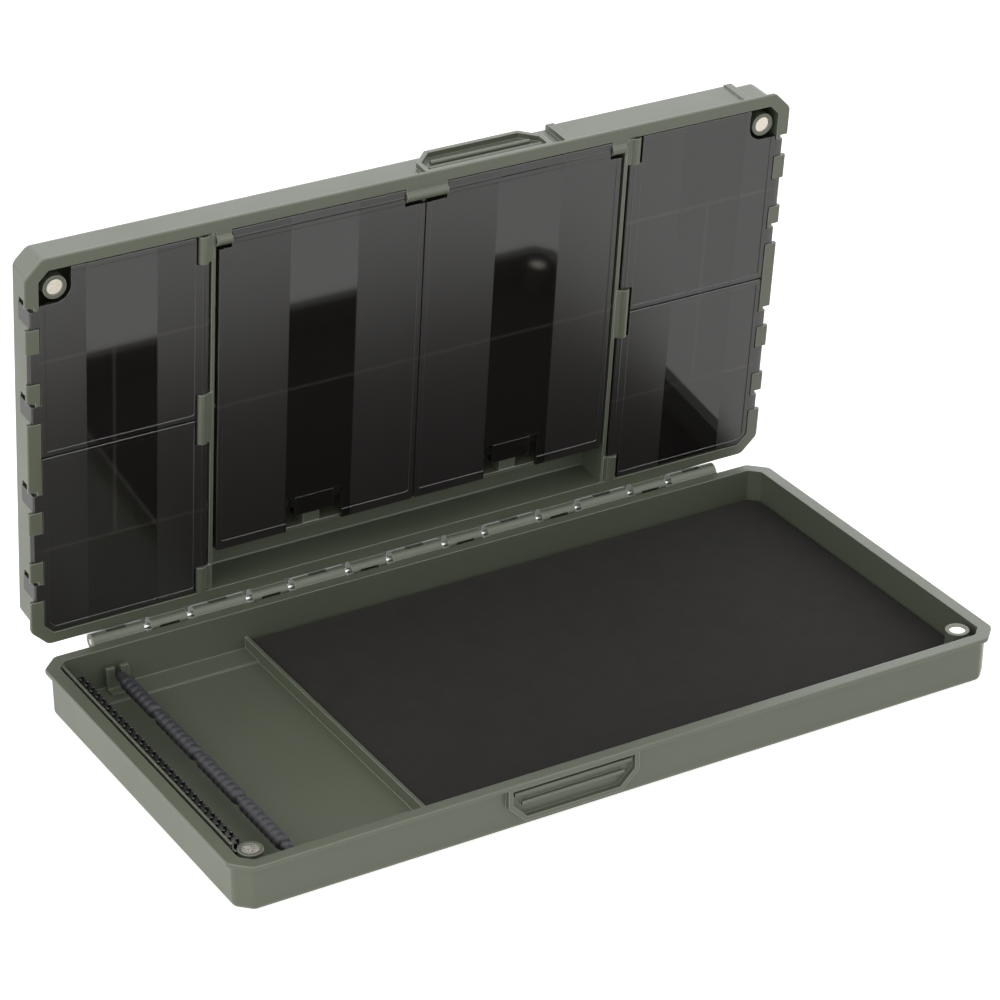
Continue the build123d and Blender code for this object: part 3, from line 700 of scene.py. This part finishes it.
@dataclass
class Studio:
    """The white floor, the soft light and the camera of the photograph."""

    camera_place: tuple[float, float, float] = (-0.71804, -1.20235, 0.83962)
    yaw: float = 30.433
    pitch: float = 28.023
    roll: float = 0.160
    lens: float = 135.62
    sensor: float = 36.0
    floor_size: float = 12.0
    floor_shine: float = 0.8
    floor_bounce: float = 0.4
    world_strength: float = 0.5
    mirrored_strength: float = 2.7
    mirrored_colour: tuple[float, float, float, float] = (0.97, 0.98, 1.0, 1.0)
    softboxes: tuple[Softbox, ...] = (
        Softbox("top_softbox", (-0.3, 0.1, 1.8), 1.4, 3.6),
        Softbox("left_softbox", (-1.8, -0.4, 0.9), 1.2, 7.0),
    )
    aim: tuple[float, float, float] = (0.0, 0.0, 0.05)
    # The shade that shows under the hinge from the photograph's side: its limits and how far it fades.
    shade_x_mm: tuple[float, float] = (-140.0, 182.0)
    shade_y_mm: tuple[float, float] = (108.0, 154.0)
    shade_fade_mm: float = 8.0
    shade_depth: float = 0.93
    shade_full_angle: float = 12.0
    shade_none_angle: float = 20.0

    def camera(self) -> None:
        """Creates the camera at the fitted place and angles."""
        yaw, pitch, roll = (math.radians(angle) for angle in (self.yaw, self.pitch, self.roll))
        ahead = Vector((math.sin(yaw) * math.cos(pitch), math.cos(yaw) * math.cos(pitch), -math.sin(pitch)))
        right = Vector((math.cos(yaw), -math.sin(yaw), 0))
        up = right.cross(ahead)
        rolled_right = right * math.cos(roll) + up * math.sin(roll)
        rolled_up = up * math.cos(roll) - right * math.sin(roll)
        turn = Matrix((rolled_right, rolled_up, -ahead)).transposed().to_4x4()
        data = bpy.data.cameras.new("photo_camera")
        data.lens = self.lens
        data.sensor_width = self.sensor
        data.clip_start = 0.01
        camera = bpy.data.objects.new("photo_camera", data)
        camera.matrix_world = Matrix.Translation(self.camera_place) @ turn
        bpy.context.scene.collection.objects.link(camera)
        bpy.context.scene.camera = camera

    def within(self, tree: bpy.types.NodeTree, position: bpy.types.NodeSocket,
               limits: tuple[float, float]) -> bpy.types.NodeSocket:
        """One between two limits, fading to zero outside them.

        Args:
            tree: The material's node tree.
            position: The position across the limits.
            limits: The two limits in millimetres.

        Returns:
            The mask as a socket.
        """
        low, high = limits
        half = (high - low) / 2
        off = maths(tree, "ABSOLUTE", maths(tree, "SUBTRACT", position, (low + high) / 2 * MM))
        return add_node(tree, "ShaderNodeMapRange", {"interpolation_type": "SMOOTHSTEP"}, {
            "Value": off, "From Min": (half + self.shade_fade_mm) * MM,
            "From Max": (half - self.shade_fade_mm) * MM,
        }).outputs["Result"]

    def from_photo_side(self, tree: bpy.types.NodeTree) -> bpy.types.NodeSocket:
        """One where the floor is seen from the photograph's side and zero from elsewhere.

        Args:
            tree: The material's node tree.

        Returns:
            The mask as a socket.
        """
        middle = Vector((sum(self.shade_x_mm) / 2, sum(self.shade_y_mm) / 2, 0)) * MM
        photo_side = (Vector(self.camera_place) - middle).normalized()
        seen_from = add_node(tree, "ShaderNodeNewGeometry").outputs["Incoming"]
        on_floor = add_node(tree, "ShaderNodeVectorTransform", {
            "vector_type": "VECTOR", "convert_from": "WORLD", "convert_to": "OBJECT",
        }, {0: seen_from})
        alike = add_node(tree, "ShaderNodeVectorMath", {"operation": "DOT_PRODUCT"}, {
            0: on_floor.outputs[0], 1: photo_side,
        })
        return add_node(tree, "ShaderNodeMapRange", {"interpolation_type": "SMOOTHSTEP"}, {
            "Value": alike.outputs["Value"], "From Min": math.cos(math.radians(self.shade_none_angle)),
            "From Max": math.cos(math.radians(self.shade_full_angle)),
        }).outputs["Result"]

    def floor(self) -> None:
        """Lays the pale floor that the box stands on."""
        work = bmesh.new()
        bmesh.ops.create_grid(work, x_segments=1, y_segments=1, size=self.floor_size / 2)
        material, tree = empty_material("white_paper_sweep")
        paper = add_node(tree, "ShaderNodeBsdfDiffuse", inputs={"Color": linear(Tint.PAPER)})
        shine = add_node(tree, "ShaderNodeEmission", inputs={
            "Color": WHITE, "Strength": self.floor_shine,
        })
        both = add_node(tree, "ShaderNodeAddShader", inputs={0: paper.outputs[0], 1: shine.outputs[0]})
        bounce = add_node(tree, "ShaderNodeEmission", inputs={
            "Color": WHITE, "Strength": self.floor_bounce,
        })
        lifted = add_node(tree, "ShaderNodeAddShader", inputs={0: paper.outputs[0], 1: bounce.outputs[0]})
        path = add_node(tree, "ShaderNodeLightPath")
        seen = joined(tree, [path.outputs["Is Camera Ray"], path.outputs["Is Glossy Ray"]])
        mix = add_node(tree, "ShaderNodeMixShader", inputs={
            0: seen, 1: lifted.outputs[0], 2: both.outputs[0],
        })
        place = add_node(tree, "ShaderNodeSeparateXYZ", inputs={0: object_position(tree)})
        across = self.within(tree, place.outputs["X"], self.shade_x_mm)
        along = self.within(tree, place.outputs["Y"], self.shade_y_mm)
        patch = maths(tree, "MULTIPLY", across, along)
        shade = maths(tree, "MULTIPLY", maths(tree, "MULTIPLY", patch, self.from_photo_side(tree)),
                      self.shade_depth)
        dark = add_node(tree, "ShaderNodeBsdfDiffuse", inputs={"Color": BLACK})
        mix = add_node(tree, "ShaderNodeMixShader", inputs={
            0: shade, 1: mix.outputs[0], 2: dark.outputs[0],
        })
        finish_material(tree, mix.outputs[0])
        floor = new_piece("floor", work, material, smooth=False)

    def world(self) -> None:
        """Sets an even pale surround: white to the camera and brighter where it is mirrored."""
        world = bpy.data.worlds.new("studio")
        bpy.context.scene.world = world
        world.use_nodes = True
        tree = world.node_tree
        tree.nodes.clear()
        glow = add_node(tree, "ShaderNodeBackground", inputs={
            "Color": WHITE, "Strength": self.world_strength,
        })
        white = add_node(tree, "ShaderNodeBackground", inputs={"Color": WHITE, "Strength": 1.0})
        mirrored = add_node(tree, "ShaderNodeBackground", inputs={
            "Color": self.mirrored_colour, "Strength": self.mirrored_strength,
        })
        path = add_node(tree, "ShaderNodeLightPath")
        lit = add_node(tree, "ShaderNodeMixShader", inputs={
            0: path.outputs["Is Glossy Ray"], 1: glow.outputs[0], 2: mirrored.outputs[0],
        })
        mix = add_node(tree, "ShaderNodeMixShader", inputs={
            0: path.outputs["Is Camera Ray"], 1: lit.outputs[0], 2: white.outputs[0],
        })
        add_node(tree, "ShaderNodeOutputWorld", inputs={"Surface": mix.outputs[0]})

    def hang(self, softbox: Softbox) -> None:
        """Hangs a softbox that faces the box.

        Args:
            softbox: The lamp.
        """
        data = bpy.data.lights.new(softbox.name, "AREA")
        data.size = softbox.size
        data.energy = softbox.power
        lamp = bpy.data.objects.new(softbox.name, data)
        facing = (Vector(self.aim) - Vector(softbox.place)).to_track_quat("-Z", "Y")
        lamp.matrix_world = Matrix.Translation(softbox.place) @ facing.to_matrix().to_4x4()
        bpy.context.scene.collection.objects.link(lamp)

    def build(self) -> None:
        """Builds the whole studio."""
        self.camera()
        self.floor()
        self.world()
        for softbox in self.softboxes:
            self.hang(softbox)
        bpy.context.scene.view_settings.view_transform = "Standard"


def dress_frame() -> None:
    """Gives every carried-over node its finish."""
    olive = MouldedOlive().material()
    smoked = SmokedPolystyrene().material()
    nickel = BareMetal("nickel_plated_disc", Tint.NICKEL, 0.18, 0.42).material()
    steel = BareMetal("drawn_steel_wire", Tint.STEEL, 0.2, 0.35).material()
    nylon = DarkMoulding("black_nylon_rod", Tint.NYLON, 0.45).material()
    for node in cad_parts:
        if node.startswith(("side_cover", "centre")):
            dress(node, smoked)
        elif "magnet" in node:
            dress(node, nickel)
        elif "shell" in node or "cell_walls" in node or "fork" in node:
            dress(node, olive)
    dress("hinge_pin", steel)
    dress("roll_core_rod", nylon)


def main() -> None:
    """Builds every piece and the studio."""
    logging.basicConfig(level=logging.INFO, format="%(name)s: %(message)s")
    dress_frame()
    FoamMat().build(ClosedCellFoam().material())
    RibbedRoll().build(DarkMoulding("ribbed_roll_foam", Tint.ROLL, 0.6).material())
    CombStrip().build(DarkMoulding("comb_rubber", Tint.RUBBER, 0.28).material())
    Studio().build()


if __name__ == "__main__":
    main()
